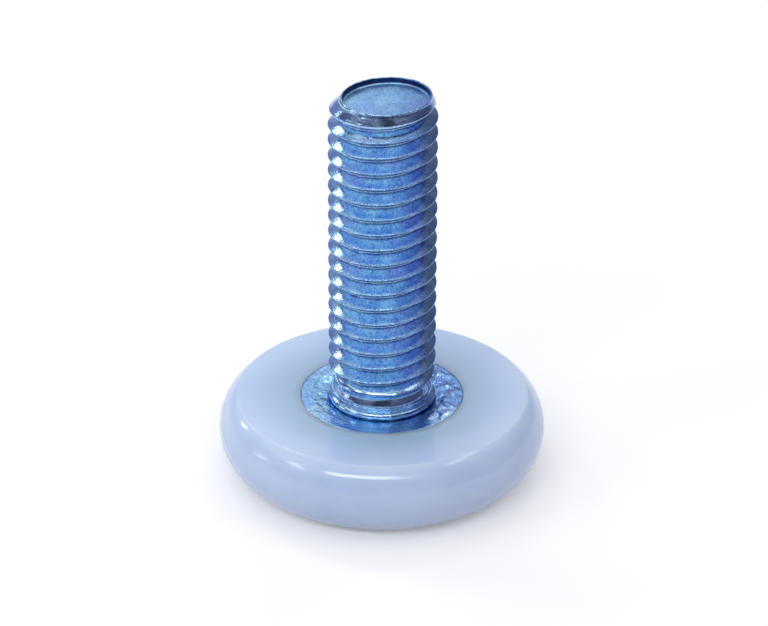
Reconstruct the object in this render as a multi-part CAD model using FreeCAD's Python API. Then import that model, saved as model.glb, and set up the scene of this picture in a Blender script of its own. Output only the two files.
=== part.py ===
import FreeCAD, Part
import math
import os

Vector = FreeCAD.Vector

# Levelling foot for a cabinet: a threaded metal stud with its wide flat head moulded into a round plastic foot.
# Millimetres. The sole lies on z = 0, the stud's axis is the Z axis and the thread points up.

# Round plastic foot
foot_diameter = 30.0
foot_height = 7.5
widest_height = 4.3
shoulder_inset = 1.6
crease_rounding = 0.15
lip_rounding = 0.08

# Head of the stud: a flat middle left bare in a shallow recess, and a thinner flange that the plastic covers
recess_depth = 0.1
bare_width = 3.0
cover_width = 2.5
cover_depth = 1.2
head_thickness = 2.0

# Root of the stud: a round bead on the head, and a plain neck up to the thread
bead_height = 0.8
bead_rise = 0.42
bead_seat = 0.05
neck_depth = 0.45
neck_height = 0.8
runout_length = 2.0

# Right-hand coarse metric thread, with its usual allowance below the nominal size
thread_diameter = 10.0
thread_allowance = 0.15
thread_pitch = 1.5
thread_start_angle = 210.0
stud_length = 30.0

# Chamfered tip with a shallow cup in its end
chamfer_width = 0.675
chamfer_height = 0.7
rim_width = 0.1
cup_wall_width = 0.4
cup_depth = 0.5

# Form of the metric thread: shares of the pitch and the angle of a flank
crest_share = 1 / 8
depth_share = 0.6134
flank_angle = 30.0

# Radii and heights that follow from the sizes above
foot_radius = foot_diameter / 2
crease_radius = foot_radius - shoulder_inset
crest_radius = (thread_diameter - thread_allowance) / 2
root_radius = crest_radius - depth_share * thread_pitch
neck_radius = crest_radius - neck_depth
recess_radius = neck_radius + bare_width
head_radius = recess_radius + cover_width
rim_radius = crest_radius - chamfer_width
cup_radius = rim_radius - rim_width
head_top = foot_height - recess_depth
head_bottom = head_top - head_thickness
flange_top = foot_height - cover_depth
bead_top = head_top + bead_height
neck_top = foot_height + neck_height
stud_top = foot_height + stud_length


def at(radius, height):
    return Vector(radius, 0, height)


def line(start, end):
    return Part.makeLine(at(*start), at(*end))


def arc(start, middle, end):
    return Part.Arc(at(*start), at(*middle), at(*end)).toShape()


def outline(corners):
    closed = corners + [corners[0]]
    return [line(start, end) for start, end in zip(closed, closed[1:])]


def revolved(edges):
    profile = Part.Face(Part.Wire(edges))
    return profile.revolve(Vector(0, 0, 0), Vector(0, 0, 1), 360)


def thread_radius(full_radius, height):
    # The thread grows smoothly out of the plain neck over the run-out.
    share = min(max((height - neck_top) / runout_length, 0), 1)
    growth = share * share * (3 - 2 * share)
    return neck_radius + (full_radius - neck_radius) * growth


def rail(full_radius, low):
    # One right-hand turn of a corner of the thread, starting on the X axis.
    steps = 48
    points = []
    for step in range(steps + 1):
        share = step / steps
        height = low + thread_pitch * share
        radius = thread_radius(full_radius, height)
        angle = 2 * math.pi * share
        points.append(Vector(radius * math.cos(angle), radius * math.sin(angle), height))
    curve = Part.BSplineCurve()
    curve.approximate(Points=points, DegMin=3, DegMax=11, Tolerance=0.0001, ParamType="Uniform")
    return curve.toShape()


def threaded_rod(low, turns):
    # Root, lower flank, crest and upper flank of one pitch in the axial plane, carried round as ruled strips.
    flank_width = (crest_radius - root_radius) * math.tan(math.radians(flank_angle))
    crest_width = crest_share * thread_pitch
    root_width = thread_pitch - crest_width - 2 * flank_width
    section = [
        (root_radius, 0),
        (root_radius, root_width),
        (crest_radius, root_width + flank_width),
        (crest_radius, root_width + flank_width + crest_width),
        (root_radius, thread_pitch),
    ]
    faces = []
    for turn in range(turns):
        base = low + turn * thread_pitch
        rails = [rail(radius, base + height) for radius, height in section]
        faces += [Part.makeRuledSurface(below, above) for below, above in zip(rails, rails[1:])]
    for base in (low, low + turns * thread_pitch):
        axis = Part.makeLine(at(0, base), at(0, base + thread_pitch))
        faces.append(Part.makeRuledSurface(axis, rail(root_radius, base)))
        corners = [(thread_radius(radius, base + height), base + height) for radius, height in section]
        faces.append(Part.Face(Part.Wire(outline([(0, base)] + corners + [(0, base + thread_pitch)]))))
    skin = Part.Compound(faces)
    skin.sewShape()
    rod = Part.makeSolid(skin.Shells[0])
    rod.rotate(Vector(0, 0, 0), Vector(0, 0, 1), thread_start_angle)
    return rod


# Threaded rod, from inside the head to past the tip, with the tip turned to its chamfer and length
rod_low = foot_height - head_thickness
rod_turns = math.ceil((stud_top - rod_low) / thread_pitch) + 1
clear_radius = crest_radius + chamfer_width
tip_envelope = revolved(outline([
    (0, 0),
    (clear_radius, 0),
    (clear_radius, stud_top - 2 * chamfer_height),
    (rim_radius, stud_top),
    (0, stud_top),
]))
rod = threaded_rod(rod_low, rod_turns)
shank = rod.common(tip_envelope)

# Head and bead, which the rod's plain neck stands in
bead_middle = (neck_radius + bead_rise, head_top + bead_height / 2)
collar = revolved([
    line((0, head_bottom), (head_radius, head_bottom)),
    line((head_radius, head_bottom), (head_radius, flange_top)),
    line((head_radius, flange_top), (recess_radius, flange_top)),
    line((recess_radius, flange_top), (recess_radius, head_top)),
    line((recess_radius, head_top), (neck_radius + bead_seat, head_top)),
    arc((neck_radius + bead_seat, head_top), bead_middle, (neck_radius - bead_seat, bead_top)),
    line((neck_radius - bead_seat, bead_top), (0, bead_top)),
    line((0, bead_top), (0, head_bottom)),
])

# Cup in the end of the stud, with a sloping wall that runs on above the end
cup = revolved(outline([
    (0, stud_top - cup_depth),
    (cup_radius - cup_wall_width, stud_top - cup_depth),
    (cup_radius + cup_wall_width, stud_top + cup_depth),
    (0, stud_top + cup_depth),
]))

threaded_stud = shank.fuse(collar).cut(cup).Solids[0]

# Foot: flat sole, rounded side, creased shoulder, flat top and the recess down to the stud's head
rise = foot_height - widest_height
side_radius = (shoulder_inset ** 2 + rise ** 2) / (2 * shoulder_inset)
side_turn = math.asin(rise / side_radius) / 2
eighth_turn = math.pi / 4
side_middle = (
    foot_radius - side_radius * (1 - math.cos(side_turn)),
    widest_height + side_radius * math.sin(side_turn),
)
base_middle = (
    foot_radius - widest_height * (1 - math.cos(eighth_turn)),
    widest_height * (1 - math.sin(eighth_turn)),
)
lip_middle = (
    recess_radius + lip_rounding * (1 - math.cos(eighth_turn)),
    foot_height - lip_rounding * (1 - math.sin(eighth_turn)),
)
foot_body = revolved([
    line((0, 0), (foot_radius - widest_height, 0)),
    arc((foot_radius - widest_height, 0), base_middle, (foot_radius, widest_height)),
    arc((foot_radius, widest_height), side_middle, (crease_radius, foot_height)),
    line((crease_radius, foot_height), (recess_radius + lip_rounding, foot_height)),
    arc((recess_radius + lip_rounding, foot_height), lip_middle, (recess_radius, foot_height - lip_rounding)),
    line((recess_radius, foot_height - lip_rounding), (recess_radius, flange_top)),
    line((recess_radius, flange_top), (head_radius, flange_top)),
    line((head_radius, flange_top), (head_radius, head_bottom)),
    line((head_radius, head_bottom), (0, head_bottom)),
    line((0, head_bottom), (0, 0)),
])

# The crease round the top is slightly eased, as it comes out of the mould
crease_point = Part.Vertex(at(crease_radius, foot_height))
crease = [edge for edge in foot_body.Edges if edge.Closed and edge.distToShape(crease_point)[0] < 0.001]
foot_pad = foot_body.makeFillet(crease_rounding, crease).Solids[0]

os.makedirs("parts", exist_ok=True)
threaded_stud.exportStep("parts/threaded_stud.step")
foot_pad.exportStep("parts/foot_pad.step")
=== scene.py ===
import math

import bmesh
import bpy
from mathutils import Matrix, Vector, noise


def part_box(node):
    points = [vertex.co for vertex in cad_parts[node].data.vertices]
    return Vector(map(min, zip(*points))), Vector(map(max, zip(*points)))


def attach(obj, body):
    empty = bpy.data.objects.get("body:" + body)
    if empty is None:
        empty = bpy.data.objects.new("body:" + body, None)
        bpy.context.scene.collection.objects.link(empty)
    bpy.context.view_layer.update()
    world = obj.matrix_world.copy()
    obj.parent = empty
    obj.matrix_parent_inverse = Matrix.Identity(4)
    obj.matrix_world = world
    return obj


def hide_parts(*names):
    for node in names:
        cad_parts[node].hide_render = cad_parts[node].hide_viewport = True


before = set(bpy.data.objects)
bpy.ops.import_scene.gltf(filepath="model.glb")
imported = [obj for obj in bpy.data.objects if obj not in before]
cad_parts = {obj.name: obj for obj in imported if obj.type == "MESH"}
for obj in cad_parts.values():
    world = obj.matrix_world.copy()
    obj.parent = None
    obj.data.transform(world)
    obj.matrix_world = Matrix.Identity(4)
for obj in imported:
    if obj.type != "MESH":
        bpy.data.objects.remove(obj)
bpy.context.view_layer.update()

scene = bpy.context.scene
scene.view_settings.view_transform = "Standard"

# Lengths of the object are in millimetres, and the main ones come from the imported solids
millimetre = 0.001
foot_box = [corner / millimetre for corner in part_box("foot_pad")]
stud_box = [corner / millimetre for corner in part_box("threaded_stud")]
foot_radius = foot_box[1].x
foot_height = foot_box[1].z
head_radius = stud_box[1].x
head_bottom = stud_box[0].z
stud_top = stud_box[1].z

# Thread of the stud, with rounded crests and roots
thread_pitch = 1.5
crest_radius = 4.925
root_radius = 3.9
crest_width = 0.09
root_width = 0.16
crest_rounding = 0.06
root_rounding = 0.08
thread_base = 5.5
root_middle = 0.125
thread_start_angle = math.radians(210.0)

# Wear of the crests: they are a little lower and nicked, less so close to the tip
wear_depth = 0.3
wear_loss = 0.01
nick_depth = 0.016
nick_size = 0.33
nick_fade = 1.0

# Neck below the thread: a cone that narrows upwards, and the height where the thread grows out of it
neck_radius = 4.475
neck_taper = 0.45
neck_length = 0.6
neck_low = 8.42
neck_top = 8.75
runout_length = 1.65

# Tip of the stud: its end is cut a little out of square and its chamfer a little off the axis
end_drop = 0.1
end_tilt = math.tan(math.radians(2.4))
end_shift = 0.29
rim_radius = 4.08
rim_width = 0.13
rim_slope_width = 0.05
rim_outer_height = 0.03
rim_outer_rounding = 0.02
rim_inner_height = 0.02
rim_inner_rounding = 0.03
cup_radius = 3.93
cup_depth = 0.6
cup_rounding = 0.18
cup_sag = 0.03
burr_reach = 0.1
burr_height = 0.05
burr_size = 0.45
end_wave_height = 0.012
end_wave_size = 0.9

# Chamfer: steep next to the rim, wider on the left, and the metal that partly fills the last groove
steep_length = 0.4
steep_slope = 0.42
steep_slope_left = 0.33
chamfer_slope = 0.5
chamfer_slope_left = 0.55
left_gain = 2.6
left_start = 1.6
fill_length = 0.35
fill_slope = 0.25
fill_fall = 1.5

# Ring between neck and bead, by its corners: out from the neck, down from the neck's low end, rounding
neck_ring = ((0.0, 0.0, 0), (0.0, 0.06, 0.03), (0.2, 0.08, 0.08), (0.2, 0.3, 0.08), (0.04, 0.36, 0.04))
throat_width = 0.04
throat_rounding = 0.04

# Bead and head: the bead lies in a dish of the bare middle, and the foot covers the flange round that
bead_top = 7.87
bead_radius = 4.9
bead_rounding = 0.35
dish_bottom = 7.08
undercut_height = 0.04
undercut_top_width = 0.1
undercut_low_width = 0.14
head_top = 7.4
flange_top = 6.3
bare_radius = 7.475
mark_radius = 6.4
mark_depth = 0.012
mark_inner_width = 0.08
mark_outer_width = 0.05
edge_rounding = 0.02

# Dents of the bare middle, by radians from the camera's side: deep on the right, less so on the left
dent_size = 0.9
fine_dent_size = 0.4
fine_dent_share = 0.7
dent_depth = 0.003
dent_depth_right = 0.12
dent_depth_left = 0.07
dent_right_start = 0.6
dent_left_start = 0.7
dent_turn = 0.4
dent_back_end = 2.7
dent_back_turn = 0.5
dent_fade = 0.3
dent_margin = 0.03

# Foot: rounded side with an eased crease round its top, a slightly wavy top, and a lip round the bare head
widest_height = 4.3
shoulder_inset = 1.6
crease_rounding = 0.25
lip_width = 0.7
lip_gap = 0.01
wave_height = 0.012
wave_size = 3.5
wave_margin = 0.01

# Fineness of the meshes: columns round the axis, steps of the arcs, and longest steps along the profiles
stud_columns = 184
foot_columns = 160
arc_steps = 4
thread_arc_steps = 2
tip_arc_steps = 3
base_arc_steps = 18
side_arc_steps = 12
thread_step = 0.36
tip_step = 0.25
root_step = 0.12
foot_step = 0.5
edge_reach = 0.025
shortest_supported = 4 * edge_reach
least_width = 1e-9
turns_below_neck = 1
turns_to_spare = 3
weld_distance = 2e-7
sliver_length = 1e-7

# Zinc plate: its colours, and what its zones multiply them by
zinc_deep = (0.315, 0.515, 0.81, 1.0)
zinc_pale = (0.43, 0.69, 0.88, 1.0)
zinc_violet = (0.43, 0.52, 0.84, 1.0)
violet_share = 0.6
# Painted shade: a darker tint for the right side of the stud
right_painted_shade_tint = (0.62, 0.61, 0.79, 1.0)
flat_tint = (0.78, 0.91, 0.96, 1.0)
# Painted shade: a darker, bluer tint that tones down the pale reflection near the crests
crest_painted_shade_tint = (0.82, 0.9, 1.0, 1.0)
# Painted shade: a darker tint in the roots of the grooves
groove_painted_shade_tint = (0.6, 0.63, 0.72, 1.0)
# Painted shade: a near-black tint on the steep inner wall of the cup
cup_wall_painted_shade_tint = (0.14, 0.11, 0.2, 1.0)
speck_tint = (0.6, 0.62, 0.74, 1.0)

# Zones of the zinc plate, each from where it begins to where it has its full effect
# Where the painted shade of the right side begins and where it is full, by X
right_painted_shade_zone = (0.5, 3.5)
plate_front_zone = (-1.5, -3.5)
plate_height_zone = (head_top + 0.07, head_top + 0.04)
plate_reach_zone = (bead_radius, bead_radius + 0.1)
cup_height_zone = (stud_top - 1.1, stud_top - 1.0)
cup_reach_zone = (rim_radius - 0.02, rim_radius - rim_width)
cup_wall_height_zone = (stud_top, stud_top - 0.14)
cup_wall_facing = (0.33, 0.2)
thread_height_zone = (stud_top - 1.0, stud_top - 1.5)
runout_zone = (neck_top, neck_top + runout_length)
groove_reach_zone = (root_radius + 0.22, root_radius + 0.04)
crest_reach_zone = (root_radius + 0.45, root_radius + 0.85)

# Grain of the zinc plate: its size and detail, which of its values count, and what it does to the gloss
patch_grain = (1.4, 6.0)
violet_grain = (2.3, 3.0)
speck_grain = (0.22, 2.0)
zinc_relief_grain = (0.19, 3.0)
patch_range = (0.35, 0.65)
violet_range = (0.52, 0.7)
speck_range = (0.5, 0.34)
polish_range = (0.25, 0.75)
zinc_roughness = (0.12, 0.24)
cup_roughness = 0.2
zinc_relief_height = 0.03
zinc_relief_strength = (0.35, 0.7)

# Milky plastic: bluer over the head's flange, where the metal shows through
plastic_deep = (0.51, 0.63, 0.86, 1.0)
plastic_pale = (0.56, 0.68, 0.90, 1.0)
over_head_colour = (0.40, 0.57, 0.86, 1.0)
over_head_zone = (13.0, 8.0)
cloud_grain = (6.0, 3.0)
cloud_range = (0.3, 0.7)
plastic_relief_grain = (0.8, 4.0)
plastic_relief_height = 0.05
plastic_relief_strength = 0.12
plastic_roughness = 0.15
plastic_index = 1.5
scatter_weight = 0.8
scatter_radius = (1.0, 1.1, 1.3)
scatter_length = 3.0

# Floor: half its width in metres, how far it lies below the sole, and what it adds to look white
floor_half = 3.0
floor_drop = 0.02
floor_colour = (0.8, 0.8, 0.8, 1.0)
floor_glow = 0.27

# Room: how bright it is on its several sides
left_level = 1.05
right_level = 0.5
front_level = 0.15
back_level = 0.95
back_left_level = 0.38
back_right_level = 0.24
top_level = 0.8
camera_level = 0.03

# Where the sides of the room pass into one another, by X, Y or Z of the direction looked in
side_span = (-0.8, 0.8)
back_left_span = (-0.4, -0.15)
back_right_span = (0.15, 0.45)
low_back_side_span = (-0.3, 0.3)
low_left_span = (0.1, -0.2)
back_span = (0.2, 0.5)
low_back_span = (0.26, 0.42)
low_front_span = (0.46, 0.62)
top_span = (0.75, 0.92)
camera_span = (0.91, 0.97)

# Tints of the room: a cool back, and more blue low on the left of it and low in front
back_tint = (0.97, 1.02, 1.12, 1.0)
low_left_tint = (0.9, 0.92, 1.4, 1.0)
low_front_tint = (1.0, 0.85, 1.35, 1.0)
white = (1.0, 1.0, 1.0, 1.0)

# Camera: it stands on the -Y side and looks down at a point beside the stud's axis, in metres and degrees
aim = Vector((0.000159, 0.0, 0.015749))
camera_distance = 0.330
camera_elevation = 28.09
camera_roll = 0.21
camera_lens = 170.1

# Lamps: name, azimuth, elevation, distance from the aim, width, height and radiance, in metres and degrees
lamps = (
    ("left_back", -138, 35, 0.6, 0.065, 0.085, 11.0),
    ("left_low", -123, 20, 0.6, 0.04, 0.05, 12.0),
    ("left_window", -65, 30, 0.6, 0.12, 0.05, 12.0),
    ("neck_window", -91, 9, 0.6, 0.12, 0.08, 4.0),
    ("front_strip", -11, 43, 0.7, 0.66, 0.045, 14.0),
    ("right_top", 80, 50, 0.7, 0.30, 0.06, 5.0),
    ("back_left", -153, 53, 0.6, 0.10, 0.06, 12.0),
    ("back_right", 157, 52, 0.6, 0.08, 0.06, 12.0),
)


def direction(azimuth, elevation):
    # Azimuth is counted in degrees from the camera's side, to the right
    turn = math.radians(azimuth)
    lift = math.radians(elevation)
    return Vector((math.cos(lift) * math.sin(turn), -math.cos(lift) * math.cos(turn), math.sin(lift)))


def add_camera():
    data = bpy.data.cameras.new("camera")
    data.sensor_fit = "HORIZONTAL"
    data.sensor_width = 36.0
    data.lens = camera_lens
    data.clip_start = 0.01
    data.clip_end = 20.0
    camera = bpy.data.objects.new("camera", data)
    scene.collection.objects.link(camera)
    roll = math.radians(camera_roll)
    forward = -direction(0.0, camera_elevation)
    level = Vector((1.0, 0.0, 0.0))
    upward = level.cross(forward)
    right = math.cos(roll) * level + math.sin(roll) * upward
    up = -math.sin(roll) * level + math.cos(roll) * upward
    rows = Matrix((right, up, -forward)).transposed().to_4x4()
    camera.matrix_world = Matrix.Translation(aim - camera_distance * forward) @ rows
    scene.camera = camera


def add_lamp(name, azimuth, elevation, distance, width, height, radiance):
    data = bpy.data.lights.new(name, "AREA")
    data.shape = "RECTANGLE"
    data.size = width
    data.size_y = height
    data.energy = radiance * math.pi * width * height
    lamp = bpy.data.objects.new(name, data)
    scene.collection.objects.link(lamp)
    outward = direction(azimuth, elevation)
    lamp.location = aim + distance * outward
    lamp.rotation_euler = outward.to_track_quat("Z", "Y").to_euler()


def arc(centre, radius, start, end, steps):
    # Corners for rounded(), with no rounding of their own
    angles = [math.radians(start + (end - start) * step / steps) for step in range(steps + 1)]
    return [(centre[0] + radius * math.cos(a), centre[1] + radius * math.sin(a), 0) for a in angles]


def rounded(corners, steps=arc_steps):
    # A line through corners (x, y, rounding), with an arc at each corner that has a rounding
    points = []
    for index, (x, y, rounding) in enumerate(corners):
        here = Vector((x, y))
        if rounding == 0:
            points.append(here)
            continue
        back = (Vector(corners[index - 1][:2]) - here).normalized()
        ahead = (Vector(corners[index + 1][:2]) - here).normalized()
        half = back.angle(ahead) / 2
        centre = here + (back + ahead).normalized() * rounding / math.sin(half)
        start = here + back * rounding / math.tan(half) - centre
        end = here + ahead * rounding / math.tan(half) - centre
        for step in range(steps + 1):
            points.append(centre + start.lerp(end, step / steps).normalized() * rounding)
    return points


def divided(points, longest):
    fine = [points[0]]
    for start, end in zip(points, points[1:]):
        parts = max(1, math.ceil((end - start).length / longest))
        fine += [start.lerp(end, part / parts) for part in range(1, parts + 1)]
    return fine


def supported(points):
    # Long lines get a point close to each end, so that smooth shading leaves them flat
    fine = [points[0]]
    for start, end in zip(points, points[1:]):
        step = (end - start).normalized() * edge_reach
        if (end - start).length > shortest_supported:
            fine += [start + step, end - step]
        fine.append(end)
    return fine


def smooth(share):
    share = min(max(share, 0.0), 1.0)
    return share * share * (3.0 - 2.0 * share)


def grain(point, size):
    return noise.noise(point / size)


# Section of one turn of the thread, from the middle of a root to the middle of the next
flank_width = (thread_pitch - crest_width - root_width) / 2
thread_section = divided(supported(rounded([
    (0.0, root_radius, 0),
    (root_width / 2, root_radius, root_rounding),
    (root_width / 2 + flank_width, crest_radius, crest_rounding),
    (root_width / 2 + flank_width + crest_width, crest_radius, crest_rounding),
    (thread_pitch - root_width / 2, root_radius, root_rounding),
    (thread_pitch, root_radius, 0),
], thread_arc_steps)), thread_step)


def section_radius(height):
    height = height % thread_pitch
    for start, end in zip(thread_section, thread_section[1:]):
        if height <= end.x:
            width = max(end.x - start.x, least_width)
            return start.y + (end.y - start.y) * (height - start.x) / width
    return root_radius


def thread_height(angle):
    return thread_base + root_middle + thread_pitch * (angle - thread_start_angle) / (2 * math.pi)


def end_circle(radius, angle):
    # Distance from the stud's axis to a circle about the shifted centre of the end
    across = end_shift * math.sin(angle)
    return end_shift * math.cos(angle) + math.sqrt(radius * radius - across * across)


def end_height(x):
    return stud_top - end_drop + end_tilt * x


def thread_point(angle, height):
    # A point of the stud's side, with its height held between the neck's low end and the tip
    top = end_height(end_circle(rim_radius, angle) * math.cos(angle))
    height = min(max(height, neck_low), top - edge_reach)
    growth = smooth((height - neck_top) / runout_length)
    neck = neck_radius - neck_taper * min(height - neck_low, neck_length)
    radius = neck + (section_radius(height - thread_height(angle)) - neck) * growth
    worn = smooth((radius - crest_radius + wear_depth) / wear_depth) * growth

    below_end = top - height
    steep = min(below_end, steep_length)
    left = smooth(-left_gain * math.cos(angle) - left_start)
    spread = (steep_slope + steep_slope_left * left) * steep
    spread += (chamfer_slope + chamfer_slope_left * left) * (below_end - steep)
    chamfer = end_circle(rim_radius + spread, angle)
    filled = end_circle(rim_radius, angle) + fill_slope * min(below_end, fill_length)
    filled -= fill_fall * max(0.0, below_end - fill_length)
    radius = min(max(radius, filled), chamfer)

    point = Vector((radius * math.cos(angle), radius * math.sin(angle), height))
    nick = nick_depth * grain(point, nick_size) - wear_loss
    nick *= worn * min(1.0, below_end / nick_fade)
    return point + Vector((math.cos(angle), math.sin(angle), 0.0)) * nick


def turn_angles(columns, extra=0):
    return [2 * math.pi * column / columns for column in range(columns + extra)]


def turned(profile, columns):
    angles = turn_angles(columns)
    return [[Vector((r * math.cos(a), r * math.sin(a), z)) for a in angles] for r, z in profile]


def tip_rings():
    # From the end of the thread over the rim and down into the cup; heights count from the tilted end
    profile = divided(supported(rounded([
        (rim_radius, 0.0, 0),
        (rim_radius - rim_slope_width, rim_outer_height, rim_outer_rounding),
        (rim_radius - rim_width, rim_inner_height, rim_inner_rounding),
        (cup_radius, -cup_depth, cup_rounding),
        (0.0, -cup_depth - cup_sag, 0),
    ], tip_arc_steps)), tip_step)
    angles = turn_angles(stud_columns)
    rings = [[thread_point(angle, stud_top + thread_pitch) for angle in angles]]
    for radius, rise in profile[:-1]:
        ring = []
        for angle in angles:
            edge = end_circle(rim_radius, angle)
            outward = Vector((edge * math.cos(angle) - end_shift, edge * math.sin(angle))) / rim_radius
            x = end_shift + radius * outward.x
            point = Vector((x, radius * outward.y, end_height(x) + rise))
            if rise != 0.0:
                burr = smooth((rise + burr_reach) / burr_reach)
                wave = end_wave_height * grain(point, end_wave_size)
                point.z += wave + burr_height * burr * grain(point, burr_size)
            ring.append(point)
        rings.append(ring)
    return rings


def dent(point):
    azimuth = math.atan2(point.x, -point.y)
    reach = math.hypot(point.x, point.y)
    bare = smooth((reach - bead_radius) / dent_fade)
    bare *= smooth((bare_radius + dent_margin - reach) / dent_fade)
    bare *= smooth((dent_back_end - abs(azimuth)) / dent_back_turn)
    right = smooth((azimuth - dent_right_start) / dent_turn)
    left = smooth((-azimuth - dent_left_start) / dent_turn)
    depth = dent_depth + dent_depth_right * right + dent_depth_left * left
    return bare * depth * (grain(point, dent_size) + fine_dent_share * grain(point, fine_dent_size))


def root_rings():
    # From the neck down over its ring and the bead, then out over the head to its covered flange
    ring_corners = [(neck_radius + out, neck_low - down, rounding) for out, down, rounding in neck_ring]
    profile = rounded(ring_corners + [
        (neck_radius + throat_width, bead_top, throat_rounding),
        (bead_radius, bead_top, bead_rounding),
        (bead_radius, dish_bottom + undercut_height, bead_rounding),
        (neck_radius + undercut_top_width, dish_bottom + undercut_height, edge_rounding),
        (neck_radius + undercut_low_width, dish_bottom, edge_rounding),
        (mark_radius - mark_inner_width, head_top, edge_rounding),
        (mark_radius, head_top - mark_depth, edge_rounding),
        (mark_radius + mark_outer_width, head_top, edge_rounding),
        (bare_radius, head_top, 0),
    ])
    hidden = [(bare_radius, flange_top), (head_radius, flange_top), (head_radius, head_bottom)]
    rings = turned(divided(profile, root_step) + hidden, stud_columns)
    for ring in rings:
        for point in ring:
            point.z += dent(point)
    return rings


def foot_rings():
    # From the sole up the side, over the top, and down into the hollow for the head
    rise = foot_height - widest_height
    side_radius = (shoulder_inset ** 2 + rise ** 2) / (2 * shoulder_inset)
    side_turn = math.degrees(math.asin(rise / side_radius))
    base = arc((foot_radius - widest_height, widest_height), widest_height, -90.0, 0.0, base_arc_steps)
    side = arc((foot_radius - side_radius, widest_height), side_radius, 0.0, side_turn, side_arc_steps)
    profile = rounded([(0.0, 0.0, 0)] + base + side[1:-1] + [
        (foot_radius - shoulder_inset, foot_height, crease_rounding),
        (bare_radius + lip_width, foot_height, lip_width),
        (bare_radius, head_top + lip_gap, 0),
        (bare_radius, flange_top, 0),
        (head_radius, flange_top, 0),
        (head_radius, head_bottom, 0),
        (0.0, head_bottom, 0),
    ])
    rings = turned(divided(supported(profile), foot_step)[1:-1], foot_columns)
    for ring in rings:
        for point in ring:
            if point.z > foot_height - wave_margin:
                point.z += wave_height * grain(point, wave_size)
    return rings


def closed_mesh(name, vertices, faces):
    mesh = bpy.data.meshes.new(name)
    mesh.from_pydata([point * millimetre for point in vertices], [], faces)
    shape = bmesh.new()
    shape.from_mesh(mesh)
    bmesh.ops.remove_doubles(shape, verts=shape.verts, dist=weld_distance)
    bmesh.ops.dissolve_degenerate(shape, dist=sliver_length, edges=shape.edges)
    for face in shape.faces:
        face.smooth = True
    shape.to_mesh(mesh)
    shape.free()
    return mesh


class Skin:
    # Points and faces of a mesh that is put together from rows of points
    def __init__(self):
        self.points = []
        self.faces = []

    def row(self, points):
        first = len(self.points)
        self.points.extend(points)
        return list(range(first, first + len(points)))

    def join(self, lower, upper):
        for column in range(len(lower) - 1):
            self.faces.append((lower[column], lower[column + 1], upper[column + 1], upper[column]))

    def join_rings(self, rings):
        # Rings come in the order that leads up an outer wall, so that their faces look outwards
        rows = [self.row(ring) for ring in rings]
        closed = [row + row[:1] for row in rows]
        for first, second in zip(closed, closed[1:]):
            self.join(first, second)
        return closed

    def cap(self, row, centre, upward):
        middle = self.row([centre])[0]
        for a, b in zip(row, row[1:]):
            self.faces.append((a, b, middle) if upward else (b, a, middle))


def stud_mesh():
    # The rows follow the helix from below the neck to above the tip, and thread_point holds them at both
    skin = Skin()
    turns = math.ceil((stud_top - neck_low) / thread_pitch) + turns_to_spare
    first_turn = math.floor((neck_low - thread_base) / thread_pitch) - turns_below_neck
    starts = [(first_turn + turn) * thread_pitch for turn in range(turns)]
    heights = [start + point.x for start in starts for point in thread_section[:-1]]
    angles = turn_angles(stud_columns, 1)
    rows = [skin.row([thread_point(a, thread_height(a) + height) for a in angles]) for height in heights]
    for lower, upper in zip(rows, rows[1:]):
        skin.join(lower, upper)
    tip = skin.join_rings(tip_rings())
    end_middle = Vector((end_shift, 0.0, end_height(end_shift) - cup_depth - cup_sag))
    skin.cap(tip[-1], end_middle, True)
    root = skin.join_rings(root_rings()[::-1])
    skin.cap(root[0], Vector((0.0, 0.0, head_bottom)), False)
    return closed_mesh("stud", skin.points, skin.faces)


def foot_mesh():
    skin = Skin()
    rings = skin.join_rings(foot_rings())
    skin.cap(rings[0], Vector((0.0, 0.0, 0.0)), False)
    skin.cap(rings[-1], Vector((0.0, 0.0, head_bottom)), True)
    return closed_mesh("foot", skin.points, skin.faces)


class Graph:
    # Nodes of one material or of the world; a value is a number, a colour or another node's socket
    def __init__(self, tree):
        tree.nodes.clear()
        self.nodes = tree.nodes
        self.links = tree.links

    def put(self, socket, value):
        if isinstance(value, bpy.types.NodeSocket):
            self.links.new(value, socket)
        else:
            socket.default_value = value

    def node(self, kind, **values):
        node = self.nodes.new(kind)
        for name, value in values.items():
            self.put(node.inputs[name.replace("_", " ")], value)
        return node

    def math(self, operation, *values):
        node = self.nodes.new("ShaderNodeMath")
        node.operation = operation
        for socket, value in zip(node.inputs, values):
            self.put(socket, value)
        return node.outputs["Value"]

    def product(self, first, *others):
        for other in others:
            first = self.math("MULTIPLY", first, other)
        return first

    def parts(self, vector):
        return list(self.node("ShaderNodeSeparateXYZ", Vector=vector).outputs)

    def distance(self, x, y):
        return self.math("SQRT", self.math("ADD", self.product(x, x), self.product(y, y)))

    def ramp(self, value, low, high, to_low=0.0, to_high=1.0):
        node = self.nodes.new("ShaderNodeMapRange")
        node.interpolation_type = "SMOOTHSTEP"
        for socket, entry in zip(node.inputs, (value, low, high, to_low, to_high)):
            self.put(socket, entry)
        return node.outputs["Result"]

    def zone(self, value, limits):
        # A ramp between limits in millimetres
        return self.ramp(value, limits[0] * millimetre, limits[1] * millimetre)

    def mix(self, share, first, second, blend="MIX"):
        # The node has a set of sockets for each kind of data, and these are the ones for colours
        node = self.nodes.new("ShaderNodeMix")
        node.data_type = "RGBA"
        node.blend_type = blend
        self.put(node.inputs[0], share)
        self.put(node.inputs[6], first)
        self.put(node.inputs[7], second)
        return node.outputs[2]

    def tinted(self, share, colour, tint):
        return self.mix(share, colour, tint, "MULTIPLY")

    def noise(self, place, size, detail):
        scale = 1.0 / (size * millimetre)
        return self.node("ShaderNodeTexNoise", Vector=place, Scale=scale, Detail=detail).outputs["Fac"]


def new_material(name):
    material = bpy.data.materials.new(name)
    material.use_nodes = True
    return material, Graph(material.node_tree)


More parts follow.
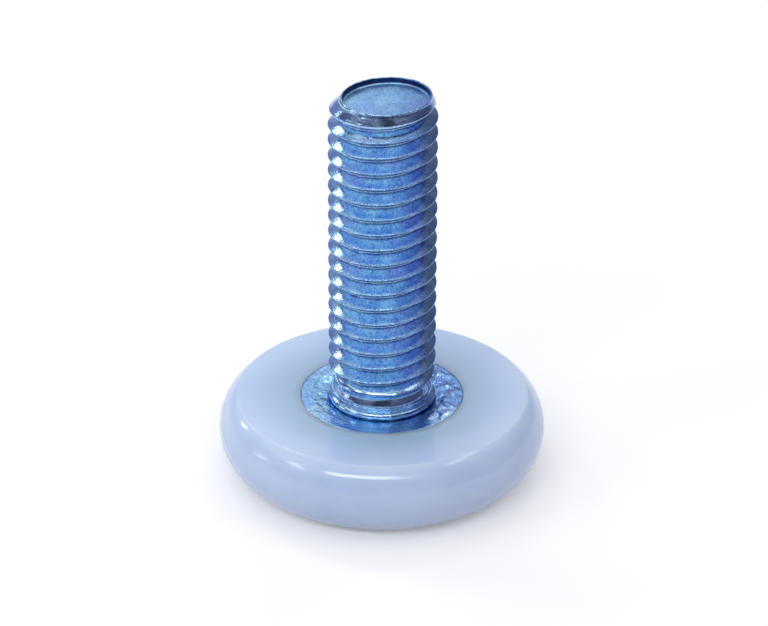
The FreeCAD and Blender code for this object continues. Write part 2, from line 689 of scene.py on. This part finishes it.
def zinc_material():
    material, graph = new_material("zinc_plate")
    coordinates = graph.node("ShaderNodeTexCoord").outputs
    place = coordinates["Object"]
    x, y, height = graph.parts(place)
    facing = graph.math("ABSOLUTE", graph.parts(coordinates["Normal"])[2])
    reach = graph.distance(x, y)
    end_reach = graph.distance(graph.math("SUBTRACT", x, end_shift * millimetre), y)

    # Where the head's bare middle, the cup, its wall, the grooves and the crests are
    plate = graph.product(graph.zone(height, plate_height_zone), graph.zone(reach, plate_reach_zone))
    plate_front = graph.product(plate, graph.zone(y, plate_front_zone))
    cup = graph.product(graph.zone(height, cup_height_zone), graph.zone(end_reach, cup_reach_zone))
    painted_cup_wall_shade = graph.product(
        cup,
        graph.ramp(facing, *cup_wall_facing),
        graph.zone(height, cup_wall_height_zone),
    )
    below_tip = graph.zone(height, thread_height_zone)
    painted_groove_shade = graph.product(graph.zone(reach, groove_reach_zone), below_tip)
    painted_crest_shade = graph.product(graph.zone(reach, crest_reach_zone), below_tip, graph.zone(height, runout_zone))

    # Patchy colour, with painted shade that darkens the right side; the front of the bare middle keeps the
    # plain colour
    patches = graph.noise(place, *patch_grain)
    violet = graph.ramp(graph.noise(place, *violet_grain), *violet_range, 0.0, violet_share)
    specks = graph.ramp(graph.noise(place, *speck_grain), *speck_range)
    plain = graph.mix(graph.ramp(patches, *patch_range), zinc_deep, zinc_pale)
    plain = graph.mix(violet, plain, zinc_violet)
    colour = graph.tinted(graph.zone(x, right_painted_shade_zone), plain, right_painted_shade_tint)
    colour = graph.tinted(graph.math("MAXIMUM", plate, cup), colour, flat_tint)
    colour = graph.mix(plate_front, colour, plain)
    # Painted shade near the crests, over their pale reflection
    colour = graph.tinted(painted_crest_shade, colour, crest_painted_shade_tint)
    # Painted shade in the roots of the grooves
    colour = graph.tinted(painted_groove_shade, colour, groove_painted_shade_tint)
    # Painted shade on the steep inner wall of the cup
    colour = graph.tinted(painted_cup_wall_shade, colour, cup_wall_painted_shade_tint)
    colour = graph.tinted(specks, colour, speck_tint)

    polish = graph.ramp(patches, *polish_range, *zinc_roughness)
    bump = graph.node(
        "ShaderNodeBump",
        Height=graph.noise(place, *zinc_relief_grain),
        Strength=graph.ramp(plate, 0.0, 1.0, *zinc_relief_strength),
        Distance=zinc_relief_height * millimetre,
    )
    shader = graph.node(
        "ShaderNodeBsdfPrincipled",
        Base_Color=colour,
        Metallic=1.0,
        Roughness=graph.math("ADD", polish, graph.product(cup, cup_roughness)),
        Normal=bump.outputs["Normal"],
    )
    graph.node("ShaderNodeOutputMaterial", Surface=shader.outputs["BSDF"])
    return material


def plastic_material():
    material, graph = new_material("milky_plastic")
    place = graph.node("ShaderNodeTexCoord").outputs["Object"]
    x, y = graph.parts(place)[:2]
    cloud = graph.ramp(graph.noise(place, *cloud_grain), *cloud_range)
    over_head = graph.zone(graph.distance(x, y), over_head_zone)
    colour = graph.mix(cloud, plastic_deep, plastic_pale)
    colour = graph.mix(over_head, colour, over_head_colour)
    bump = graph.node(
        "ShaderNodeBump",
        Height=graph.noise(place, *plastic_relief_grain),
        Strength=plastic_relief_strength,
        Distance=plastic_relief_height * millimetre,
    )
    shader = graph.node(
        "ShaderNodeBsdfPrincipled",
        Base_Color=colour,
        Roughness=plastic_roughness,
        IOR=plastic_index,
        Subsurface_Weight=scatter_weight,
        Subsurface_Radius=scatter_radius,
        Subsurface_Scale=scatter_length * millimetre,
        Normal=bump.outputs["Normal"],
    )
    graph.node("ShaderNodeOutputMaterial", Surface=shader.outputs["BSDF"])
    return material


def add_floor():
    # It glows only where it is seen or reflected, and lights the object by what it scatters
    mesh = bpy.data.meshes.new("floor")
    half = floor_half
    low = -floor_drop * millimetre
    corners = [(-half, -half, low), (half, -half, low), (half, half, low), (-half, half, low)]
    mesh.from_pydata(corners, [], [(0, 1, 2, 3)])
    floor = bpy.data.objects.new("floor", mesh)
    scene.collection.objects.link(floor)
    material, graph = new_material("white_floor")
    lit = graph.node("ShaderNodeBsdfDiffuse", Color=floor_colour)
    path = graph.node("ShaderNodeLightPath").outputs
    seen = graph.math("MAXIMUM", path["Is Camera Ray"], path["Is Glossy Ray"])
    seen = graph.math("MAXIMUM", seen, path["Is Transmission Ray"])
    glow = graph.node("ShaderNodeEmission", Strength=graph.product(seen, floor_glow))
    both = graph.nodes.new("ShaderNodeAddShader")
    graph.put(both.inputs[0], lit.outputs["BSDF"])
    graph.put(both.inputs[1], glow.outputs["Emission"])
    graph.node("ShaderNodeOutputMaterial", Surface=both.outputs["Shader"])
    mesh.materials.append(material)


def add_world():
    # A pale room: bright on the left, above and in the middle of its back, and dark round the camera
    world = bpy.data.worlds.new("studio")
    scene.world = world
    world.use_nodes = True
    graph = Graph(world.node_tree)
    way = graph.node("ShaderNodeTexCoord").outputs["Generated"]
    x, y, z = graph.parts(way)

    back = graph.ramp(x, *back_left_span, back_left_level, back_level)
    back = graph.ramp(x, *back_right_span, back, back_right_level)
    low_back = graph.ramp(x, *low_back_side_span, back_left_level, back_right_level)
    back = graph.ramp(z, *low_back_span, low_back, back)
    side = graph.ramp(x, *side_span, left_level, right_level)
    front = graph.ramp(z, *low_front_span, front_level, side)
    level = graph.ramp(y, *back_span, front, back)
    level = graph.ramp(z, *top_span, level, top_level)
    towards_camera = graph.nodes.new("ShaderNodeVectorMath")
    towards_camera.operation = "DOT_PRODUCT"
    graph.put(towards_camera.inputs[0], way)
    graph.put(towards_camera.inputs[1], direction(0.0, camera_elevation))
    level = graph.ramp(towards_camera.outputs["Value"], *camera_span, level, camera_level)

    low_left = graph.product(graph.ramp(z, *reversed(low_back_span)), graph.ramp(x, *low_left_span))
    back_colour = graph.mix(low_left, back_tint, low_left_tint)
    front_colour = graph.mix(graph.ramp(z, *low_front_span), low_front_tint, white)
    tint = graph.mix(graph.ramp(y, *back_span), front_colour, back_colour)
    sky = graph.node("ShaderNodeBackground", Color=tint, Strength=level)
    graph.node("ShaderNodeOutputWorld", Surface=sky.outputs["Background"])


def add_piece(mesh, node, material):
    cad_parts[node].data.materials.clear()
    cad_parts[node].data.materials.append(material)
    mesh.materials.append(material)
    piece = bpy.data.objects.new(mesh.name, mesh)
    scene.collection.objects.link(piece)
    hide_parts(node)
    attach(piece, "root")


add_camera()
add_world()
add_floor()
for lamp in lamps:
    add_lamp(*lamp)
add_piece(stud_mesh(), "threaded_stud", zinc_material())
add_piece(foot_mesh(), "foot_pad", plastic_material())
